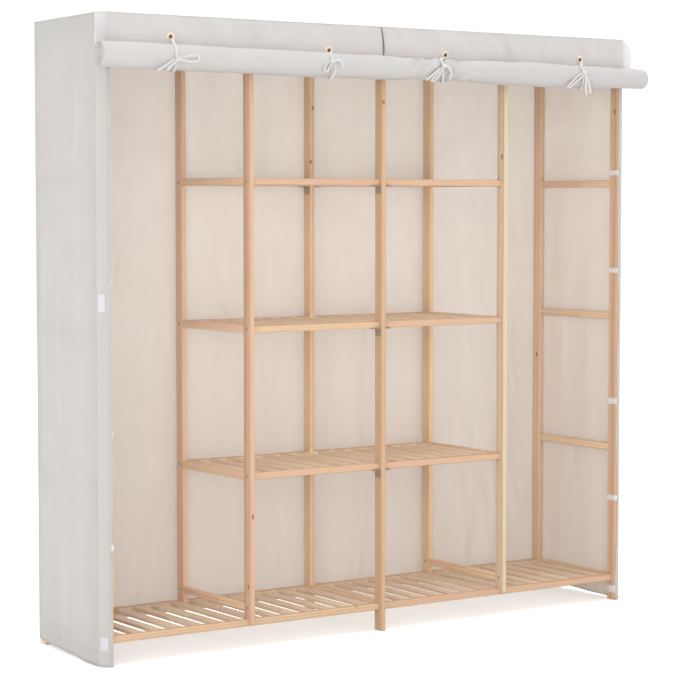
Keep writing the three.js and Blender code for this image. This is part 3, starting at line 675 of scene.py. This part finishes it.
for name in ("left", "right"):
    share = np.linspace(0, 1, 190)[None]
    if name == "left":
        run = wrap_length + (zip_gap / 2 - zip_line - wrap_length) * share
        x, y = [np.interp(run, wrap_run, wrapped[:, axis]) for axis in range(2)]
    else:
        x = zip_line + zip_gap / 2 + (half_width + right_overhang * flare - zip_line - zip_gap / 2) * share
        y = header_middle + 0.2 * np.clip(x - half_width - 0.005, 0, 1)
    clear = np.ones(x.shape)
    for eyelet in eyelets:
        clear *= 1 - np.exp(-((x - eyelet.x) ** 2 + (level - eyelet.z) ** 2) / flat_round_eyelet**2)
    puckers = ripples(x, level, 31 + len(name), 8, 0.16, 0.04, slant=0.5)
    pucker = pucker_depth * puckers * clear * np.sin(np.pi * up * 0.8)
    grid = np.stack([x, y - pucker, level + 0 * x], -1)
    header = cloth_piece(f"header_{name}", grid, (x, level), [cotton_header, cotton_inner_lit], holes=eyelets)
    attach(header, "frame")
    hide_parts("cover_header")

# Curtain, rolled up: one long cloth wound from its lower edge, looser and creased slantwise to the right of
# the middle and thinner at its right end. The layers of the winding show at both ends.
roll_colour = (207, 204, 202)
roll_pitch = 0.00266
roll_turns = 11.5
steps_per_turn = 20
measured_at = [-0.905, -0.80, -0.676, -0.50, -0.32, -0.19, -0.015, 0.068, 0.14, 0.252, 0.36, 0.49, 0.696,
               0.88, 0.905]
measured_mm = [67, 69, 69, 66, 70, 67, 67, 62, 69.5, 62, 67, 70, 66, 58, 57]
full_mm = 69.3
crease_places = ((0.15, 0.105, 1), (0.66, 0.06, 0.35))
crease_depth, shallow_depth = 0.0088, 0.0016


def fullness(x):
    """The roll's thickness at x as a share of its full one: the measured ones, joined by straight lines and
    averaged within 3 cm on either side."""
    reach = np.linspace(-0.03, 0.03, 9)
    return np.mean([np.interp(x + step, measured_at, measured_mm) for step in reach], 0) / full_mm


x = np.linspace(roll_half_length, -roll_half_length, 200)[:, None]
turn = np.linspace(0, roll_turns, int(roll_turns * steps_per_turn))[None]
angle = np.pi + 2 * np.pi * turn
crease_zone = sum(share * np.exp(-((x - at) / width) ** 4) for at, width, share in crease_places)
slope = np.arcsin(np.sin(angle)) * 0.034
crease_run = x - 0.6 * slope + 0.006 * np.sin(3 * angle + x * 25)
wide_creases = np.abs(np.cos(np.pi * crease_run / 0.047)) ** 5
narrow_creases = np.abs(np.cos(np.pi * crease_run / 0.029 + 1)) ** 7
shallow = ripples(x, 0.035 * np.sin(angle), 44, 6, 0.25, 0.05, slant=0.9)
dent = crease_depth * crease_zone * (wide_creases + 0.6 * narrow_creases) + shallow_depth * shallow
radius = (roll_radius - cloth_thickness / 2 - roll_pitch * turn) * (fullness(x) - dent / roll_radius)
recess = 1 - (0.0030 + 0.0022 * np.sin(2.3 * turn)) * np.minimum(turn, 5) / 5
grid = np.stack([x * recess, roll_y - radius * np.cos(angle), roll_axis(x) + radius * np.sin(angle)], -1)
wound = 2 * np.pi * (roll_radius * turn - roll_pitch * turn**2 / 2)
cotton_curtain = cotton("cotton_curtain", cover_colour, thread)
cotton_roll = cotton("cotton_roll", roll_colour, thread, glow=0.0)
roll = cloth_piece("curtain_wound", grid, (x, wound), [cotton_roll])
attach(roll, "curtain")
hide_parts("curtain_roll")

# Curtain, its hanging part: from the seam behind the header's lower edge to the back of the roll.
seam = header_level + 0.002
share = np.linspace(0, 1, 60)[:, None]
across = np.linspace(0, 1, 200)[None]
seam_left, seam_length = -half_width - 0.012, 2 * half_width + 0.041
x_seam = seam_left + seam_length * across
x_roll = roll_half_length * (2 * across - 1)
y_seam = header_middle + 0.0016
y_roll = roll_y + (roll_radius - cloth_thickness / 2) * fullness(x_roll)
hanging_wave = 0.0026
wave = hanging_wave * np.sin(np.pi * share) ** 0.7 * ripples(x_seam, share * 0.4, 12, 7, 0.3, 0.07)
grid = np.stack([x_roll + (x_seam - x_roll) * share, y_roll + (y_seam - y_roll) * share - wave,
                 roll_axis(x_roll) + (seam - roll_axis(x_roll)) * share], -1)
hanging = cloth_piece("curtain_hanging", grid, (x_roll, share * 1.5), [cotton_curtain, cotton_inner_lit],
                      thickness=0.0012)
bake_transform(hanging)

# Zip: a strip of darker tape sewn behind the gap between the header's halves, with its closed teeth as a
# fine rib down the middle.
zip_colour = (168, 158, 152)
zip_width = 0.022
rib_height, rib_width, tooth_pitch = 0.0006, 0.0018, 0.0025
share = np.linspace(-1, 1, 25)[None]
teeth = 0.6 + 0.4 * np.sin(2 * np.pi * level / tooth_pitch)
rib = rib_height * np.exp(-(share * zip_width / 2 / rib_width) ** 2) * teeth
grid = np.stack([zip_line + zip_width / 2 * share, header_middle + 0.0019 - rib, level + 0 * share], -1)
zip_cloth = cotton("zip_tape", zip_colour, thread)
zip_strip = cloth_piece("zip_strip", grid, (zip_width * share, level), [zip_cloth], thickness=0.0008)
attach(zip_strip, "frame")

# Eyelets: the frame's rings, in pale polished copper. Behind each, a small dark disc in the header is painted
# shade: it stands in for the shadow in the eyelet's hole.
copper_colour = (250, 230, 206)
# Painted shade: the dark colour of the discs behind the eyelets.
hole_shade_colour = (112, 92, 80)
hole_shade_inner, hole_shade_outer = 0.0005, 0.0105
polished = bare_material("polished_copper")
place = node(polished, "ShaderNodeTexCoord").outputs["Object"]
scuffs = node(polished, "ShaderNodeTexNoise", Vector=place, Scale=900.0, Detail=3.0)
dulled = node(polished, "ShaderNodeMapRange", i0=scuffs.outputs[0], i1=0.3, i2=0.7, i3=0.28, i4=0.42)
surface_of(polished, Base_Color=linear(copper_colour), Metallic=0.45, Roughness=dulled.outputs[0])
hole_shade_cloth = cotton("hole_shade_cotton", hole_shade_colour, thread, mottle=4)
for number, eyelet in enumerate(eyelets, 1):
    solid = frame["nodes"][f"eyelet_{number}"]
    solid.data.materials.clear()
    solid.data.materials.append(polished)
    ring, turn = np.meshgrid(np.linspace(hole_shade_inner, hole_shade_outer, 6), np.linspace(0, 2 * np.pi, 33),
                             indexing="ij")
    grid = np.stack([eyelet.x + ring * np.cos(turn), 0 * ring + header_middle + 0.0042,
                     eyelet.z + ring * np.sin(turn)], -1)
    hole_shade = cloth_piece(f"eyelet_hole_shade_{number}", grid, (ring * np.cos(turn), ring * np.sin(turn)),
                        [hole_shade_cloth], thickness=0.0006)
    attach(hole_shade, "frame")

# Angle brackets: folded steel under the shelf rails, on both sides of the centre posts and at their front
# and back. Two round-headed screws hold each leg.
steel_colour = (188, 172, 152)
bracket_leg = 0.022
bracket_width = 0.026
bracket_thickness = 0.0015
fold_radius = 0.003
screw_radius = 0.0032
screw_height = 0.0012
screw_spots = (0.28, 0.72)
screw_reach = 0.014
bracket_wall, rail_drop = 0.0074, 0.0095
deck_level, level_step = 0.067, 0.392
levels = [deck_level + level_step * step for step in (1, 2, 3)]
steel = bare_material("worn_steel")
place = node(steel, "ShaderNodeTexCoord").outputs["Object"]
wear = node(steel, "ShaderNodeTexNoise", Vector=place, Scale=260.0, Detail=4.0)
rough = node(steel, "ShaderNodeMapRange", i0=wear.outputs[0], i1=0.3, i2=0.7, i3=0.42, i4=0.62)
surface_of(steel, Base_Color=linear(steel_colour), Metallic=0.8, Roughness=rough.outputs[0])


def screw_dome(centre, outward, radius, height):
    """A low round head that faces along X or Z: rings of r = radius cos(t) and h = height (0.35 + 0.65
    sin(t)), on a short straight rim."""
    centre, outward = np.array(centre), np.array(outward, float)
    across = np.cross(outward, [0, 1, 0])
    upward = np.cross(outward, across)
    around = 16
    rise, turn = np.meshgrid(np.linspace(0, 1.5, 6), np.linspace(0, 2 * np.pi, around, endpoint=False),
                             indexing="ij")
    spokes = np.cos(turn)[..., None] * across + np.sin(turn)[..., None] * upward
    points = (centre + (np.cos(rise) * radius)[..., None] * spokes
              + (height * (0.35 + 0.65 * np.sin(rise)))[..., None] * outward)
    rings = np.concatenate([centre + radius * spokes[:1], points])
    index = np.arange(rings.shape[0] * around).reshape(-1, around)
    faces = np.stack([index[:-1], index[1:], np.roll(index, -1, 1)[1:], np.roll(index, -1, 1)[:-1]], -1)
    return rings.reshape(-1, 3), [*faces.reshape(-1, 4).tolist(), index[0].tolist(), index[-1][::-1].tolist()]


def gathered(name, parts, material, smooth=True):
    """One piece from several closed meshes, each with its points and faces."""
    points, faces, first = [], [], 0
    for some_points, some_faces in parts:
        points.append(some_points)
        faces += [[first + corner for corner in face] for face in some_faces]
        first += len(some_points)
    return piece_from(name, np.vstack(points), faces, material, smooth=smooth)


fold = np.linspace(0, np.pi / 2, 7)
corner = np.stack([np.sin(fold), np.cos(fold)], 1)
outer_corner = fold_radius * (1 - corner) * [1, -1]
inner_corner = (fold_radius - (fold_radius - bracket_thickness) * corner) * [1, -1]
outline = np.vstack([[[bracket_leg, 0]], outer_corner, [[0, -bracket_leg], [bracket_thickness, -bracket_leg]],
                     inner_corner[::-1], [[bracket_leg, -bracket_thickness]]])
count = len(outline)
ring = np.arange(count)
plate_faces = [*np.stack([ring, np.roll(ring, -1), np.roll(ring, -1) + count, ring + count], -1).tolist(),
               ring[::-1].tolist(), (ring + count).tolist()]
for side, sign in (("left", -1), ("right", 1)):
    for face, first, toward in (("front", front + 0.004, 1), ("back", back - 0.004, -1)):
        for step, level_z in enumerate(levels, 1):
            wall, under = sign * bracket_wall, level_z - rail_drop
            plate = np.vstack([np.column_stack([wall + sign * outline[:, 0], np.full(count, y),
                                                under + outline[:, 1]])
                               for y in (first, first + toward * bracket_width)])
            heads = []
            for share in screw_spots:
                y = first + toward * bracket_width * share
                heads.append(screw_dome((wall + sign * bracket_thickness, y, under - screw_reach),
                                        (sign, 0, 0), screw_radius, screw_height))
                heads.append(screw_dome((wall + sign * screw_reach, y, under - bracket_thickness), (0, 0, -1),
                                        screw_radius, screw_height))
            bracket = gathered(f"bracket_{side}_{face}_{step}", [(plate, plate_faces), *heads], steel, False)
            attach(bracket, "frame")

# Bolts: round steel heads on both side faces of the inner posts, at the rungs and the low bars that they
# hold.
bolt_radius, bolt_height = 0.0042, 0.0016
low_bar_level = 0.107
bolt_levels = [low_bar_level, *levels]
post_half_width, post_half_depth = 0.007, 0.017
heads = []
for x in (-pitch, pitch):
    for sign in (-1, 1):
        for y in (front + post_half_depth, back - post_half_depth):
            heads += [screw_dome((x + sign * post_half_width, y, z), (sign, 0, 0), bolt_radius, bolt_height)
                      for z in bolt_levels]
bolts = gathered("bolt_heads", heads, steel)
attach(bolts, "frame")

# Bands: the cover is held to each front corner post by five narrow cloth bands round it, from the foot to
# a little over the highest shelf.
band_colour = (238, 235, 234)
band_levels = ((0.032, 0.022), (0.307, 0.016), (0.597, 0.018), (0.9865, 0.015), (1.2755, 0.015))
band_thickness = 0.0006
band_slack = 0.0003
band_cloth = cotton("band_cotton", band_colour, 0.0006, glow=0.0)
for side, sign in (("left", -1), ("right", 1)):
    low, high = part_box(f"post_{side}_front")
    turn = np.linspace(0, 2 * np.pi, 48, endpoint=False)
    half = np.array([(high.x - low.x) / 2, (high.y - low.y) / 2]) + 0.0005
    middle_xy = np.array([(high.x + low.x) / 2, (high.y + low.y) / 2])
    corner = np.stack([np.cos(turn), np.sin(turn)], 1)
    loop_xy = middle_xy + half * np.sign(corner) * np.abs(corner) ** 0.14
    loop_xy = np.vstack([loop_xy, loop_xy[:1]])
    for step, (level_z, width) in enumerate(band_levels, 1):
        up = np.linspace(-0.5, 0.5, 7)[:, None]
        slack = band_slack * np.cos(np.pi * up)
        swell = (loop_xy - middle_xy)[None] * (1 + slack[..., None] / post_half_width)
        rise = np.broadcast_to(level_z + width * up[..., None], (*swell.shape[:2], 1))
        grid = np.concatenate([middle_xy + swell, rise], -1)
        run = np.concatenate([[0], np.cumsum(np.linalg.norm(np.diff(loop_xy, axis=0), axis=1))])
        band = cloth_piece(f"band_{side}_{step}", grid, (run[None], width * up), [band_cloth], band_thickness)
        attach(band, "frame")

# Fastening patches: the soft halves of the door curtain's hook-and-loop fasteners, sewn to the left
# panel's chamfer between its crease and the front post.
fastener_colour = (216, 214, 219)
fastener_spots = ((0.9325, 0.047, 0.16, 0.86), (0.060, 0.034, 0.2, 1.0))
fastener_lift, fastener_puff, fastener_edge = 0.0009, 0.0009, 0.0004
fastener_cloth = cotton("fastener_loops", fastener_colour, 0.0005, relief=0.5, glow=0.0)
rear_edge = np.array([-cloth_wall - left_crease, crease_y])
front_edge = np.array([-cloth_wall, panel_face])
outward_xy = np.array([-(front_edge - rear_edge)[1], (front_edge - rear_edge)[0]])
outward_xy *= np.sign(-outward_xy[0]) / np.linalg.norm(outward_xy)
for number, (level_z, height, first, last) in enumerate(fastener_spots, 1):
    share = np.linspace(first, last, 14)[None, :, None]
    up = np.linspace(-0.5, 0.5, 20)[:, None]
    edge = np.maximum(np.abs(2 * up), np.abs(np.linspace(-1, 1, 14)[None])) ** 8
    puff = fastener_puff - fastener_edge * edge
    spot = rear_edge + (front_edge - rear_edge) * share + outward_xy * (fastener_lift + puff)[..., None]
    rise = np.broadcast_to(level_z + height * up[..., None], (*spot.shape[:2], 1))
    grid = np.concatenate([spot, rise], -1)
    run = share[..., 0] * math.dist(rear_edge, front_edge)
    made = cloth_piece(f"fastener_{number}", grid, (run, height * up), [fastener_cloth], thickness=0.001)
    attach(made, "frame")

# Floor and light: a plain white floor, lightened a little where it is seen directly, and a white surround
# that lights most from above, the back and the right. One large soft lamp stands in front, to the left.
floor_tone = (232, 233, 234)
floor_lift = 0.45
floor_reach, floor_drop = 12.0, 0.0005
lamp_power = 95
lamp_size = (4.0, 2.6)
lamp_place = (-4.9, -4.3, 1.7)
lamp_turn = (83.5, 0, -49)
low_strength, high_strength = 0.28, 1.60
bright_side = (0.34, 0.42, 0.84)
backdrop_strength = 1.05

scene = bpy.context.scene
scene.view_settings.view_transform = "Standard"
floor_finish = bare_material("floor_white")
floor_seen = node(floor_finish, "ShaderNodeLightPath").outputs["Is Camera Ray"]
lift = node(floor_finish, "ShaderNodeMath", {"operation": "MULTIPLY"}, i0=floor_seen, i1=floor_lift)
surface_of(floor_finish, Base_Color=linear(floor_tone), Roughness=0.95, Specular_IOR_Level=0.1,
           Emission_Color=(1, 1, 1, 1), Emission_Strength=lift.outputs[0])
reach = np.array([-floor_reach, floor_reach])
corners = np.stack(np.meshgrid(reach, reach), -1).reshape(-1, 2)
floor = piece_from("floor", np.column_stack([corners, np.full(4, -floor_drop)]), [[0, 1, 3, 2]], floor_finish)

world = bpy.data.worlds.new("surround")
scene.world = world
world.use_nodes = True
backdrop = world.node_tree.nodes["Background"]
backdrop.inputs["Color"].default_value = (1, 1, 1, 1)
tree = world.node_tree
toward = tree.nodes.new("ShaderNodeVectorMath")
toward.operation = "DOT_PRODUCT"
tree.links.new(tree.nodes.new("ShaderNodeTexCoord").outputs["Generated"], toward.inputs[0])
toward.inputs[1].default_value = bright_side
sky = tree.nodes.new("ShaderNodeMapRange")
for place, value in enumerate((-1.0, 1.0, low_strength, high_strength), 1):
    sky.inputs[place].default_value = value
tree.links.new(toward.outputs["Value"], sky.inputs[0])
seen = tree.nodes.new("ShaderNodeMix")
tree.links.new(tree.nodes.new("ShaderNodeLightPath").outputs["Is Camera Ray"], seen.inputs[0])
tree.links.new(sky.outputs[0], seen.inputs[2])
seen.inputs[3].default_value = backdrop_strength
tree.links.new(seen.outputs[0], backdrop.inputs["Strength"])

lamp_data = bpy.data.lights.new("softbox", "AREA")
lamp_data.shape = "RECTANGLE"
lamp_data.size, lamp_data.size_y = lamp_size
lamp_data.energy = lamp_power
lamp = bpy.data.objects.new("softbox", lamp_data)
lamp.location = lamp_place
lamp.rotation_euler = [math.radians(degrees) for degrees in lamp_turn]
scene.collection.objects.link(lamp)
